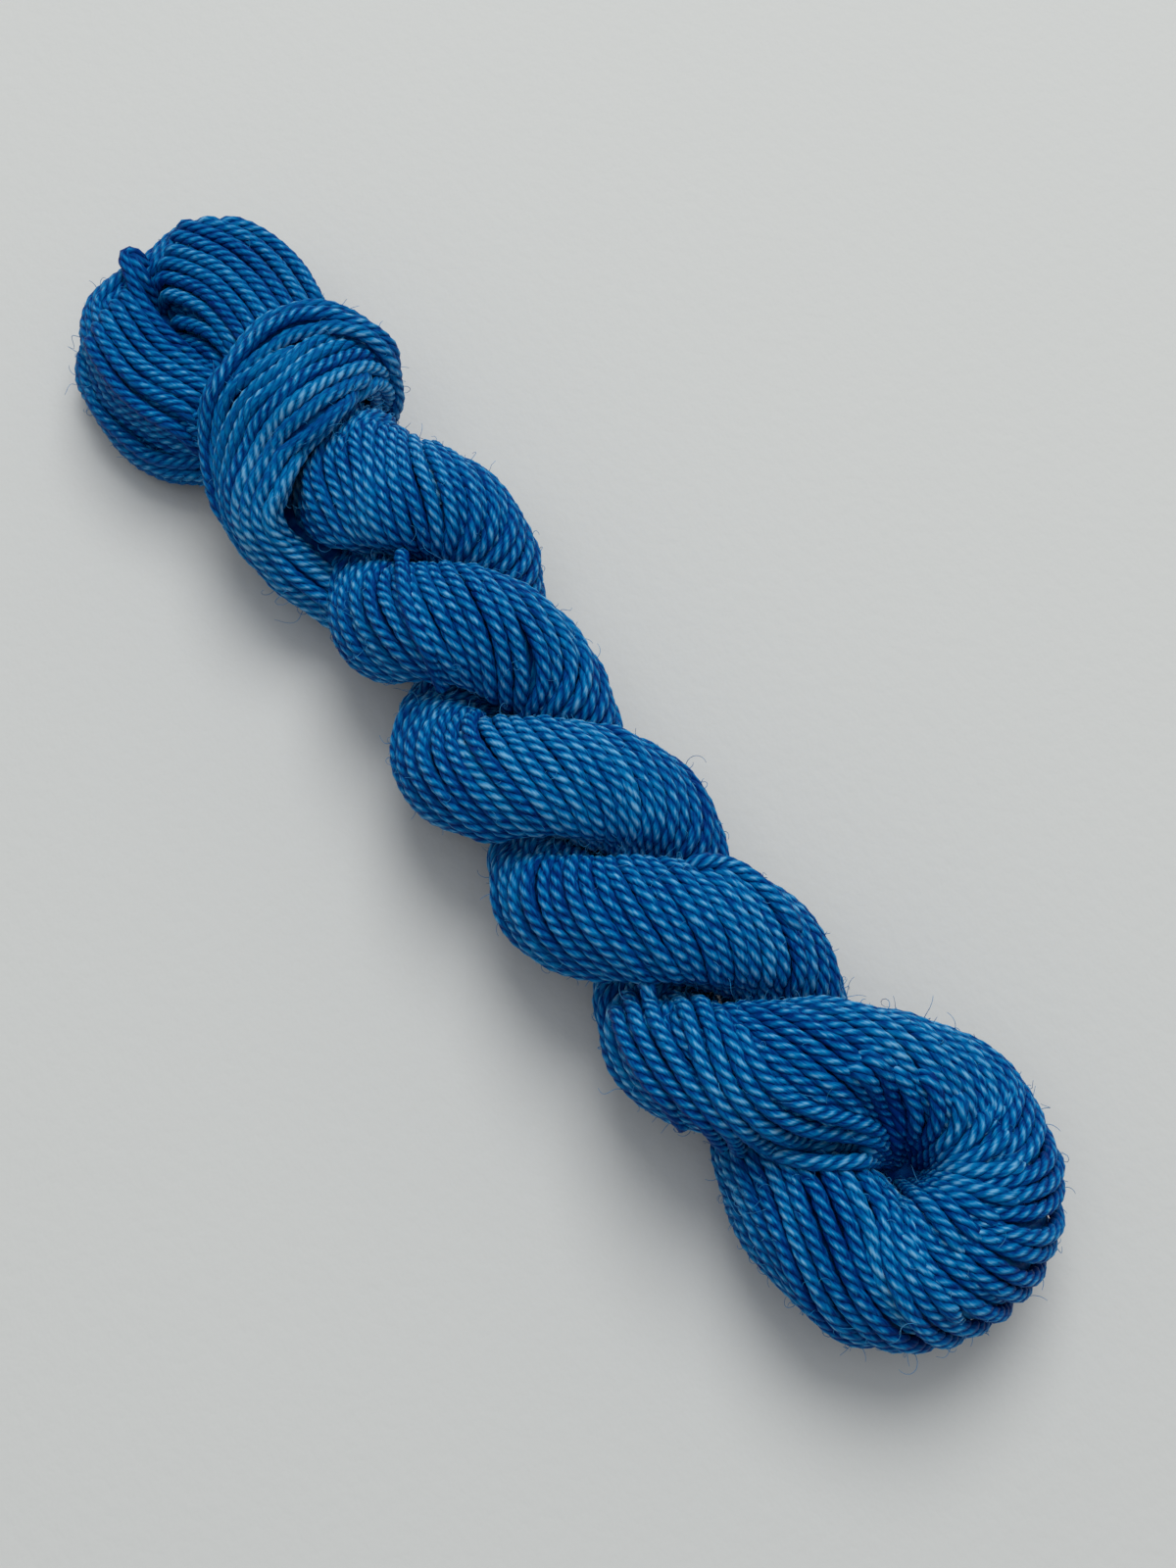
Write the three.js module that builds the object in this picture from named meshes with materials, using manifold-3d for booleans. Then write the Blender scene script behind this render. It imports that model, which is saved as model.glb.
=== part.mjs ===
// A twisted hank of needlepoint thread, lying flat. Millimetres, +Z up, +X towards the fold.
//
// The skein is twisted, folded in half and let go, so that its two halves lie round each other
// as a two-lobed rope. Beyond the rope, one end loop sticks out as the tail, and the other end
// loop goes round its neck as the band. All of it is the outer form of the laid strands.
import * as THREE from 'three';
import { mergeVertices } from 'three/addons/utils/BufferGeometryUtils.js';
import Module from 'manifold-3d';

// The rope, along its axis from the neck to the fold
const FIRST_CREST_X = -24.9; // where the first lobe crosses the top of the rope
const LOBE_SPACING = 12.73; // from one crest to the next, half a turn of the rope
const LOBES = 5;
const REST_SQUASH = 0.84; // height over width of the rope's own turn
const LEAN = 0.05; // of the halves along the rope, for each millimetre across it
const LEAN_MIDDLE = 4.0;
const FOLD_X = 36.0; // where the halves run into the fold
const FOLD_REACH = 5.4; // how far the fold's middle line goes past that
const FOLD_LENGTH = 17.0; // along the fold's middle line
const FOLD_EASE = 1.5; // how softly the rope's turn ends before the fold
const NECK_START = -38.0;
const HALF_END = 116.0;
const SMOOTHING_PASSES = 16;

// Where it rests: the thread is pressed flat, softly, and then level
const PRESS_DEPTH = 0.3;
const PRESS_SOFTNESS = 0.6;

// The middle of the laid hank, which becomes the origin
const MIDDLE_X = -5.025;
const MIDDLE_Y = 0.565;

// How finely the forms are stepped
const RING_STEP = 1.6;
const FINE_STEP = 0.2; // of a middle line, before its rings are chosen
const HALF_SIDES = 22;
const TAIL_SIDES = 20;
const BAND_SIDES = 16;
const FULLEST_BEND = 0.85; // how much of its bend's radius a form may fill
const INNER_FLATNESS = 0.6; // of the side of a half that lies against the other half
const INNER_SQUARENESS = 0.85;
const END_ROUNDING = 3.0;
const END_FULLNESS = 0.3; // size of a form's very end, to its full size
const HOLLOW_SIDES = 16;
const HOLLOW_LEVELS = 10;
const LEAST_BEND = 1e-3; // radians over a ring step, below which a line is straight
const SAME_PLACE = 1e-4; // points as close as this are one

// The two halves, from the neck out to the fold and back. along is x on the way out, and goes
// on growing round the fold and back. across and height are the rope's axis, and offset is from
// there to the half's middle, from which its own sizes go outward, inward and sideways.
const HALVES = [
  { along: -40, across: 2.9, height: 6.7, offset: 0, outward: 4.1, inward: 4.1, sideways: 5.2 },
  { along: -30, across: 3.6, height: 6.8, offset: 1.6, outward: 4.1, inward: 4.1, sideways: 5.9 },
  { along: -26, across: 3.0, height: 6.9, offset: 3.1, outward: 4.2, inward: 4.1, sideways: 5.4 },
  { along: -21, across: 2.3, height: 6.9, offset: 4.2, outward: 4.3, inward: 4.4, sideways: 4.7 },
  { along: -14, across: 1.5, height: 6.9, offset: 4.2, outward: 4.35, inward: 4.5, sideways: 4.6 },
  { along: -5, across: -0.85, height: 6.9, offset: 4.2, outward: 4.35, inward: 4.5, sideways: 4.5 },
  { along: 14, across: -0.85, height: 6.9, offset: 4.2, outward: 4.35, inward: 4.5, sideways: 4.5 },
  { along: 22, across: -0.8, height: 6.9, offset: 4.3, outward: 4.4, inward: 4.5, sideways: 4.6 },
  { along: 29, across: 0.4, height: 6.8, offset: 4.8, outward: 4.5, inward: 3.6, sideways: 4.3 },
  { along: 35, across: 1.7, height: 6.6, offset: 5.8, outward: 4.6, inward: 2.9, sideways: 4.5 },
  { along: 44.5, across: 1.7, height: 6.3, offset: 5.8, outward: 5.2, inward: 4.5, sideways: 5.4 },
  { along: 53, across: 1.7, height: 6.5, offset: 5.8, outward: 5.2, inward: 4.6, sideways: 5.2 },
  { along: 60, across: 0.4, height: 6.8, offset: 4.8, outward: 4.9, inward: 4.4, sideways: 4.9 },
  { along: 67, across: -0.7, height: 6.9, offset: 4.3, outward: 4.5, inward: 4.5, sideways: 4.6 },
  { along: 75, across: -0.85, height: 6.9, offset: 4.2, outward: 4.35, inward: 4.5, sideways: 4.5 },
  { along: 94, across: -0.85, height: 6.9, offset: 4.2, outward: 4.35, inward: 4.5, sideways: 4.5 },
  { along: 103, across: 1.5, height: 6.9, offset: 4.2, outward: 4.35, inward: 4.5, sideways: 4.5 },
  { along: 111, across: 2.2, height: 6.8, offset: 4.0, outward: 4.3, inward: 4.4, sideways: 4.3 },
  { along: 117, across: 2.2, height: 6.6, offset: 3.4, outward: 3.4, inward: 3.4, sideways: 3.6 },
];

// The band: the end loop round the neck, from its root under the rope, over the neck and back
const NECK_MIDDLE = { y: 2.8, z: 6.3 };
const BAND = [
  { place: 'root', x: -21, y: -2.6, z: 3.2, wide: 2.8, thick: 2.2 },
  { place: 'near foot', x: -26, y: -5.0, z: 4.6, wide: 3.4, thick: 2.1 },
  { place: 'near side', x: -31.3, y: -5.8, z: 7.5, wide: 4.9, thick: 1.8 },
  { place: 'near shoulder', x: -34.6, y: -2.4, z: 11.3, wide: 5.3, thick: 1.5 },
  { place: 'top', x: -35.0, y: 1.8, z: 13.1, wide: 5.2, thick: 1.5 },
  { place: 'far crown', x: -35.7, y: 6.0, z: 12.0, wide: 4.8, thick: 1.5 },
  { place: 'far shoulder', x: -36.2, y: 8.5, z: 9.6, wide: 4.4, thick: 1.6 },
  { place: 'far side', x: -36.4, y: 8.9, z: 6.2, wide: 3.9, thick: 1.6 },
  { place: 'far foot', x: -36.6, y: 6.6, z: 2.8, wide: 3.2, thick: 1.5 },
  { place: 'under', x: -33, y: 3.4, z: 1.2, wide: 3.0, thick: 1.6 },
  { place: 'back', x: -26, y: -0.6, z: 1.5, wide: 3.0, thick: 1.8 },
];

// The tail: the end loop that sticks out, up one ear, round the tip and down the other
const TAIL = [
  { place: 'far neck', x: -33, y: 3.0, z: 6.1, wide: 3.5, high: 4.4 },
  { place: 'far root', x: -38, y: 3.5, z: 6.1, wide: 4.4, high: 5.0 },
  { place: 'far ear', x: -43, y: 4.0, z: 5.7, wide: 5.2, high: 5.5 },
  { place: 'far ear end', x: -48, y: 4.1, z: 5.3, wide: 5.5, high: 5.5 },
  { place: 'far tip', x: -52.4, y: 3.5, z: 5.0, wide: 4.8, high: 5.2 },
  { place: 'tip', x: -53.4, y: 0.4, z: 4.8, wide: 2.6, high: 4.7 },
  { place: 'near tip', x: -52.6, y: -4.4, z: 4.5, wide: 3.5, high: 4.6 },
  { place: 'near ear end', x: -48.3, y: -6.1, z: 4.4, wide: 4.6, high: 4.9 },
  { place: 'near ear', x: -43.3, y: -5.8, z: 4.6, wide: 4.6, high: 4.9 },
  { place: 'near neck', x: -38.1, y: -2.8, z: 4.9, wide: 3.6, high: 4.6 },
];
const TIP_ROW = 5;

// Strands that lie inside the fold's bend and the tail's crease, lower than what is round them
const HOLLOWS = [
  { place: 'fold', x: 35.4, y: 2.6, z: 3.6, long: 4.4, wide: 3.2, high: 3.2 },
  { place: 'crease', x: -48.0, y: -1.7, z: 3.7, long: 5.2, wide: 1.8, high: 3.4 },
];

const UP = new THREE.Vector3(0, 0, 1);
const ROOM = [200, 100, 60]; // larger than the hank, with its floor at the level flat

// A column of the halves' table at a length along them, eased from row to row
function halfSize(along, column) {
  const last = HALVES.length - 1;
  const at = Math.min(Math.max(along, HALVES[0].along), HALVES[last].along);
  const i = Math.max(HALVES.findIndex((row) => row.along >= at), 1);
  const before = HALVES[i - 1];
  const after = HALVES[i];
  const part = THREE.MathUtils.smoothstep(at, before.along, after.along);
  return THREE.MathUtils.lerp(before[column], after[column], part);
}

// The halves' turn about the rope's axis, in radians: a quarter turn is on top
function turnAt(x) {
  const lastCrest = FIRST_CREST_X + (LOBES - 1) * LOBE_SPACING;
  if (x < lastCrest) return Math.PI * (0.5 + (x - FIRST_CREST_X) / LOBE_SPACING);
  const left = Math.max((FOLD_X - x) / (FOLD_X - lastCrest), 0);
  return Math.PI * (LOBES - 0.5 * left ** FOLD_EASE);
}

// A point of the halves' middle line, and the way outward from the rope's axis
function halfPoint(along) {
  const outward = new THREE.Vector3();
  let x = along;
  if (along > FOLD_X && along < FOLD_X + FOLD_LENGTH) {
    const bend = Math.PI * (along - FOLD_X) / FOLD_LENGTH;
    outward.set(Math.sin(bend), Math.cos(bend), 0);
    x = FOLD_X + FOLD_REACH * Math.sin(bend);
  } else {
    const isBack = along > FOLD_X;
    if (isBack) x = 2 * FOLD_X + FOLD_LENGTH - along;
    const turn = turnAt(x) + (isBack ? Math.PI : 0);
    outward.set(0, -Math.cos(turn), Math.sin(turn));
  }
  const offset = halfSize(along, 'offset');
  const y = halfSize(along, 'across') + offset * outward.y;
  const z = halfSize(along, 'height') + REST_SQUASH * offset * outward.z;
  const lean = LEAN * THREE.MathUtils.smoothstep(x, NECK_START, FIRST_CREST_X);
  const point = new THREE.Vector3(x - lean * (y - LEAN_MIDDLE), y, z);
  if (along < FIRST_CREST_X) {
    const settled = THREE.MathUtils.smoothstep(along, NECK_START, FIRST_CREST_X);
    outward.lerp(UP, 1 - settled);
  }
  return { point, outward };
}

// Vectors averaged with their neighbours a number of times, so that their line has no corner
function smoothed(vectors) {
  let line = vectors;
  for (let pass = 0; pass < SMOOTHING_PASSES; pass += 1) {
    line = line.map((v, i) => {
      if (i === 0 || i === line.length - 1) return v;
      const neighbours = line[i - 1].clone().add(line[i + 1]);
      return v.clone().multiplyScalar(0.5).addScaledVector(neighbours, 0.25);
    });
  }
  return line;
}

function endFullness(fromEnd) {
  if (fromEnd >= END_ROUNDING) return 1;
  const round = Math.sqrt(1 - (1 - fromEnd / END_ROUNDING) ** 2);
  return THREE.MathUtils.lerp(END_FULLNESS, 1, round);
}

// The stations of a form's rings, a ring step apart on its fine middle line. Each has the frame
// there: ahead along the line, out as near as can be to the way given, and aside square to both.
function stationsOf(points, outwards, sizesAt, closed) {
  const count = points.length;
  const at = (i) => points[closed ? (i + count) % count : THREE.MathUtils.clamp(i, 0, count - 1)];
  const lengths = [0];
  for (let i = 1; i < count + (closed ? 1 : 0); i += 1) {
    lengths.push(lengths[i - 1] + at(i).distanceTo(at(i - 1)));
  }
  const whole = lengths[lengths.length - 1];
  const steps = Math.round(whole / RING_STEP);
  const bendSpan = Math.round(RING_STEP / (whole / count));
  return Array.from({ length: closed ? steps : steps + 1 }, (_, k) => {
    const i = lengths.findIndex((length) => length >= whole * k / steps - SAME_PLACE);
    const centre = at(i);
    const ahead = at(i + 1).clone().sub(at(i - 1)).normalize();
    const out = outwards[i].clone().addScaledVector(ahead, -outwards[i].dot(ahead)).normalize();
    const turned = at(i + bendSpan).clone().sub(centre);
    const angle = turned.angleTo(centre.clone().sub(at(i - bendSpan)));
    const bendRadius = turned.length() / Math.max(angle, LEAST_BEND);
    const fullness = closed ? 1 : endFullness(Math.min(lengths[i], whole - lengths[i]));
    const aside = ahead.clone().cross(out);
    return { centre, ahead, out, aside, bendRadius, fullness, ...sizesAt(i) };
  });
}

function halvesLine() {
  const count = Math.round((HALF_END - NECK_START) / FINE_STEP);
  const along = Array.from({ length: count + 1 }, (_, i) => (
    THREE.MathUtils.lerp(NECK_START, HALF_END, i / count)
  ));
  const raw = along.map(halfPoint);
  const points = smoothed(raw.map((place) => place.point));
  const outwards = smoothed(raw.map((place) => place.outward));
  return stationsOf(points, outwards, (i) => ({
    along: along[i],
    front: halfSize(along[i], 'outward'),
    rear: halfSize(along[i], 'inward'),
    flank: halfSize(along[i], 'sideways'),
    flatness: INNER_FLATNESS,
    squareness: INNER_SQUARENESS,
  }), false);
}

// A form's line through the rows of a table, which name its places and its own half sizes
function tableLine(rows, closed, columns, outwardAt) {
  const sized = rows.map((row) => new THREE.Vector3(row[columns.out], row[columns.aside], 0));
  const placed = rows.map((row) => new THREE.Vector3(row.x, row.y, row.z));
  const route = new THREE.CatmullRomCurve3(placed, closed, 'catmullrom', 0.5);
  const sizes = new THREE.CatmullRomCurve3(sized, closed, 'catmullrom', 0.5);
  const spans = closed ? rows.length : rows.length - 1;
  const perSpan = Math.round(route.getLength() / spans / FINE_STEP);
  const count = spans * perSpan + (closed ? 0 : 1);
  const turns = Array.from({ length: count }, (_, i) => i / (spans * perSpan));
  const points = turns.map((t) => route.getPoint(t));
  const outwards = turns.map((t, i) => outwardAt(points[i], route.getTangent(t)));
  return stationsOf(points, outwards, (i) => {
    const size = sizes.getPoint(turns[i]);
    const round = { flatness: 1, squareness: 1 };
    return { row: i / perSpan, front: size.x, rear: size.x, flank: size.y, ...round };
  }, closed);
}

// A height after the thread has been pressed against the surface it lies on
function pressed(z) {
  const over = (z + PRESS_DEPTH) / PRESS_SOFTNESS;
  return PRESS_SOFTNESS * Math.log1p(Math.exp(over)) - PRESS_DEPTH;
}

// A point of a station's ring: turn 0 is outward, and a quarter turn is aside
function ringPoint(station, turn) {
  const c = Math.cos(turn);
  const s = Math.sin(turn);
  const isFront = c > 0;
  const rear = Math.min(station.rear, FULLEST_BEND * station.bendRadius);
  const out = isFront ? station.front * c : -rear * Math.abs(c) ** station.flatness;
  const reach = isFront ? Math.abs(s) : Math.abs(s) ** station.squareness;
  const point = station.centre.clone()
    .addScaledVector(station.out, station.fullness * out)
    .addScaledVector(station.aside, station.fullness * station.flank * Math.sign(s) * reach);
  point.z = pressed(point.z);
  return point;
}

// A closed body with a ring at each station and a lid at each end
function limb(stations, sides) {
  const geometry = new THREE.CylinderGeometry(1, 1, 1, sides, stations.length - 1);
  const position = geometry.getAttribute('position');
  for (let i = 0; i < position.count; i += 1) {
    const level = Math.round((position.getY(i) + 0.5) * (stations.length - 1));
    const station = stations[level];
    const isMiddle = Math.hypot(position.getX(i), position.getZ(i)) < 0.5;
    const side = Math.round(Math.atan2(position.getX(i), position.getZ(i)) / (2 * Math.PI) * sides);
    const turn = 2 * Math.PI * ((side + sides) % sides) / sides;
    const point = isMiddle ? station.centre : ringPoint(station, turn);
    position.setXYZ(i, point.x, point.y, point.z);
  }
  return geometry;
}

// A closed body whose last ring runs on into its first
function loop(stations, sides) {
  const geometry = new THREE.TorusGeometry(1, 0.4, sides, stations.length);
  const position = geometry.getAttribute('position');
  const columns = stations.length + 1;
  for (let i = 0; i < position.count; i += 1) {
    const station = stations[(i % columns) % stations.length];
    const side = Math.floor(i / columns) % sides;
    const point = ringPoint(station, -2 * Math.PI * side / sides);
    position.setXYZ(i, point.x, point.y, point.z);
  }
  return geometry;
}

function hollowBody({ x, y, z, long, wide, high }) {
  const geometry = new THREE.SphereGeometry(1, HOLLOW_SIDES, HOLLOW_LEVELS);
  geometry.rotateX(Math.PI / 2);
  geometry.scale(long, wide, high);
  geometry.translate(x, y, z);
  return geometry;
}

const wasm = await Module();
wasm.setup();

// A three.js geometry as a solid that can be joined and cut
function solid(geometry) {
  const bare = new THREE.BufferGeometry();
  bare.setAttribute('position', geometry.getAttribute('position').clone());
  bare.setIndex(geometry.getIndex());
  const merged = mergeVertices(bare, SAME_PLACE);
  return new wasm.Manifold(new wasm.Mesh({
    numProp: 3,
    vertProperties: merged.getAttribute('position').array,
    triVerts: new Uint32Array(merged.getIndex().array),
  }));
}

function hankGeometry() {
  const halves = halvesLine();
  const turning = halves.findIndex((station) => station.along >= FOLD_X + FOLD_LENGTH / 2);
  const band = tableLine(BAND, true, { out: 'thick', aside: 'wide' }, (point) => (
    new THREE.Vector3(0, point.y - NECK_MIDDLE.y, point.z - NECK_MIDDLE.z)
  ));
  const tail = tableLine(TAIL, false, { out: 'wide', aside: 'high' }, (point, ahead) => (
    ahead.clone().cross(UP)
  ));
  const tip = tail.findIndex((station) => station.row >= TIP_ROW);
  const forms = [
    limb(halves.slice(0, turning + 1), HALF_SIDES),
    limb(halves.slice(turning), HALF_SIDES),
    limb(tail.slice(0, tip + 1), TAIL_SIDES),
    limb(tail.slice(tip), TAIL_SIDES),
    loop(band, BAND_SIDES),
    ...HOLLOWS.map(hollowBody),
  ];
  const joined = forms.map(solid).reduce((body, form) => body.add(form));
  const aboveFloor = new THREE.BoxGeometry(...ROOM).translate(0, 0, ROOM[2] / 2);
  const mesh = joined.intersect(solid(aboveFloor)).getMesh();
  const geometry = new THREE.BufferGeometry();
  geometry.setAttribute('position', new THREE.BufferAttribute(mesh.vertProperties, 3));
  geometry.setIndex(new THREE.BufferAttribute(mesh.triVerts, 1));
  geometry.translate(-MIDDLE_X, -MIDDLE_Y, 0);
  geometry.computeVertexNormals();
  return geometry;
}

const thread = new THREE.MeshStandardMaterial({ color: 0x1b5e93, roughness: 0.8, metalness: 0 });
const hank = new THREE.Mesh(hankGeometry(), thread);
hank.name = 'hank';

const group = new THREE.Group();
group.name = 'thread_hank';
group.add(hank);

export default group;
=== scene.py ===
"""A twisted hank of needlepoint thread: its strands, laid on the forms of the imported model.

Lengths are millimetres, in the frame of the laid hank, until a mesh is made. The tables of the
forms follow those of the part's source, with the lip parted from the band, the loose strands
parted from the tail, and the hidden ends of the halves drawn in.
"""
import math

import bpy
import numpy as np
from mathutils import Matrix, Vector


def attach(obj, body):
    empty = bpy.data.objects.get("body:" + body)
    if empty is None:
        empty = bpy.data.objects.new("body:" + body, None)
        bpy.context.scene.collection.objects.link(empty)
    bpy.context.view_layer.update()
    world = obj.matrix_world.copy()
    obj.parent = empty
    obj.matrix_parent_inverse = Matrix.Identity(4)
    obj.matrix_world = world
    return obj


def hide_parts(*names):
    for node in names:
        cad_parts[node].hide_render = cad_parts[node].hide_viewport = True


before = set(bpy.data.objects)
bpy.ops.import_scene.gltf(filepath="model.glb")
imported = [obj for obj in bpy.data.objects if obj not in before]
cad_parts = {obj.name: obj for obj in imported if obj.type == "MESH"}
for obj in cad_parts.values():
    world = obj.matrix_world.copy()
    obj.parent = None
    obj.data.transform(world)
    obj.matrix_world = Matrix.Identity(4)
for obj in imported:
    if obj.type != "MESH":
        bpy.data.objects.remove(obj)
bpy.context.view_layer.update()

MM = 0.001
CAMERA_PLACE = np.array([37.5, -28.6, 130.7])
MIDDLE = np.array([-5.025, 0.565, 0.0])  # of the laid hank, which is the frame's origin

# The rope, along its axis from the neck to the fold
FIRST_CREST_X = -24.9
LOBE_SPACING = 12.73
LOBES = 5
REST_SQUASH = 0.84
LEAN = 0.05  # of the halves along the rope, for each millimetre across it
LEAN_MIDDLE = 4.0
FOLD_X = 36.0
FOLD_REACH = 5.4
FOLD_LENGTH = 17.0
FOLD_EASE = 1.5
NECK_START = -38.0
HALF_END = 122.0
SMOOTHING_PASSES = 64
PRESS_DEPTH = 0.3
PRESS_SOFTNESS = 0.6
INNER_FLATNESS = 0.6
INNER_SQUARENESS = 0.85
FULLEST_BEND = 0.97
FINE_STEP = 0.1
RING_SAMPLES = 180

# The thread
STRAND = 1.1  # across
TIGHT_SPACING = 0.86  # of strands in the rope, where they press into each other
LOOSE_SPACING = 1.07
PLIES = 4
PLY_PITCH = 3.8  # length of one full turn of the plies
PLY_OFFSET = 0.31  # of a ply's middle from the strand's
PLY_DEPTH = 0.26  # half a ply's thickness, outward from the strand's middle
PLY_BREADTH = 0.33  # half its breadth, round the strand
PLY_SIDES = 5
STRAND_SPREAD = 1.08  # of a strand sideways, where it settles between its neighbours
FIBRE_SLANT = -0.44  # of a ply's fibres, in turns round it for each millimetre along it
RING_STEP = 0.47
HAIR_RADIUS = 0.028
HAIR_LONGEST = 4.0
HAIR_STEPS = 9
SECOND_LAYER = 0.86 * STRAND
STAND_OUT = 0.12  # of the outer strands past the form
PLAIN_RADIUS = 0.56 * STRAND  # of a strand in the second layer
PLAIN_SIDES = 5
PLAIN_STEP = 1.2
# Painted shade: the core and the eggs in the hollows are coloured darker than the thread.
INNER_PAINTED_SHADE = -1.0

# Unevenness of the strands: how much, and over what length
SWAY = (0.10, 11.0)  # of a strand sideways
RISE = (0.10, 9.0)
SWELL = (0.20, 15.0)  # of three neighbours together, outward
THICKENING = (0.05, 7.0)  # as a share
TURNING = (0.35, 13.0)  # of the plies, in radians

# How many strands each bundle has, and how many loose fibres
HALF_STRANDS = 30
BAND_STRANDS = 19
LIP_STRANDS = 9
TAIL_STRANDS = 27
LOOSE_STRANDS = 7
HALF_INNER_STRANDS = 10
TAIL_INNER_STRANDS = 18
TAIL_SUNK = 0.5  # of its laid strands, under those that are drawn
ROPE_PIECES = 4
ROPE_PIECE_HAIRS = 450
BAND_HAIRS = 240
TAIL_HAIRS = 360

HALVES_COLUMNS = "along across height offset outward inward sideways twist"
HALVES = [
    (-40, 2.9, 6.7, 0, 2.6, 2.8, 3.4, 0.05),
    (-30, 3.6, 6.8, 1.6, 4.1, 4.1, 5.9, 0.35),
    (-26, 3.0, 6.9, 3.1, 4.2, 4.1, 5.4, 0.80),
    (-21, 2.3, 6.9, 4.2, 4.3, 4.4, 4.7, 0.74),
    (-14, 1.5, 6.9, 4.2, 4.35, 4.5, 4.6, 0.56),
    (-5, -0.85, 6.9, 4.2, 4.35, 4.5, 4.5, 0.52),
    (14, -0.85, 6.9, 4.2, 4.35, 4.5, 4.5, 0.52),
    (22, -0.8, 6.9, 4.3, 4.4, 4.5, 4.6, 0.38),
    (29, 0.4, 6.8, 4.8, 4.5, 3.6, 4.3, 0.34),
    (35, 1.7, 6.6, 5.8, 4.6, 2.9, 4.5, 0.42),
    (44.5, 1.7, 6.3, 5.8, 5.2, 4.5, 5.4, 0.64),
    (53, 1.7, 6.5, 5.8, 5.2, 4.6, 5.2, 0.20),
    (60, 0.4, 6.8, 4.8, 4.9, 4.4, 4.9, 0.12),
    (67, -0.7, 6.9, 4.3, 4.5, 4.5, 4.6, 0.30),
    (75, -0.85, 6.9, 4.2, 4.35, 4.5, 4.5, 0.56),
    (94, -0.85, 6.9, 4.2, 4.35, 4.5, 4.5, 0.58),
    (103, 1.5, 6.9, 4.2, 4.35, 4.5, 4.5, 0.60),
    (111, 2.2, 6.8, 4.0, 4.3, 4.4, 4.3, 0.40),
    (117, 2.0, 6.5, 3.2, 3.2, 3.2, 3.4, 0.10),
    (123, 0.8, 5.8, 1.8, 1.4, 1.4, 1.4, 0.00),
]

NECK_MIDDLE = np.array([0.0, 2.8, 6.3])
BAND_COLUMNS = "x y z wide thick"
BAND = [
    (-21, -2.6, 3.2, 2.8, 2.2),
    (-26, -5.0, 4.6, 3.4, 2.1),
    (-31.0, -5.6, 7.6, 4.6, 1.8),
    (-34.0, -2.2, 11.2, 4.4, 1.5),
    (-34.1, 1.5, 13.1, 3.9, 1.5),
    (-34.6, 5.2, 12.2, 3.2, 1.5),
    (-34.9, 7.3, 9.9, 2.7, 1.5),
    (-35.6, 7.7, 6.6, 2.8, 1.5),
    (-36.6, 6.2, 3.0, 3.0, 1.5),
    (-33, 3.4, 1.2, 3.0, 1.6),
    (-26, -0.6, 1.5, 3.0, 1.8),
]
LIP = [  # the band's outer strands, looped wider round the neck
    (-28.0, -6.2, 4.2, 1.2, 1.1),
    (-33.3, -6.3, 6.3, 1.3, 1.1),
    (-36.7, -5.2, 8.4, 1.4, 1.1),
    (-38.6, -3.0, 11.0, 1.3, 1.1),
    (-39.5, 0.2, 12.4, 1.3, 1.1),
    (-39.7, 3.7, 12.8, 1.4, 1.1),
    (-38.6, 6.6, 12.6, 1.6, 1.1),
    (-36.9, 8.5, 11.9, 1.8, 1.1),
    (-35.5, 9.3, 10.6, 1.7, 1.1),
    (-34.5, 9.3, 9.0, 1.5, 1.1),
    (-34.0, 8.9, 6.6, 1.4, 1.1),
    (-34.0, 7.9, 3.8, 1.3, 1.1),
    (-34.0, 5.6, 1.6, 1.3, 1.1),
    (-34.6, 3.0, 1.2, 1.2, 1.1),
]

TAIL_COLUMNS = "x y z wide high twist"
TAIL = [
    (-33, 3.0, 6.1, 3.5, 4.4, 0.0),
    (-38, 3.5, 6.1, 4.4, 5.6, 0.0),
    (-43, 4.0, 5.7, 5.2, 5.8, 0.0),
    (-48, 4.1, 5.3, 5.5, 5.5, 0.0),
    (-52.4, 3.5, 5.0, 4.8, 5.2, 0.0),
    (-53.4, 0.4, 4.8, 2.6, 4.7, 0.0),
    (-52.5, -4.2, 4.6, 3.3, 4.6, 0.0),
    (-48.3, -5.5, 4.5, 3.8, 4.9, 0.0),
    (-43.3, -5.1, 4.7, 3.6, 4.9, 0.0),
    (-38.3, -2.6, 5.0, 3.2, 4.6, 0.0),
]
LOOSE = [  # strands that lie a little away from the tail, on the near side
    (-53.6, -5.2, 3.6, 0.9, 1.4, 0.0),
    (-52.4, -7.9, 3.0, 0.9, 1.6, 0.0),
    (-49.0, -9.2, 2.7, 0.8, 1.7, 0.0),
    (-44.8, -9.2, 2.7, 0.8, 1.8, 0.0),
    (-41.6, -8.3, 2.9, 0.8, 1.8, 0.0),
    (-39.3, -6.5, 3.5, 0.9, 1.7, 0.0),
    (-37.0, -3.8, 4.2, 1.0, 1.6, 0.0),
]

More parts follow.
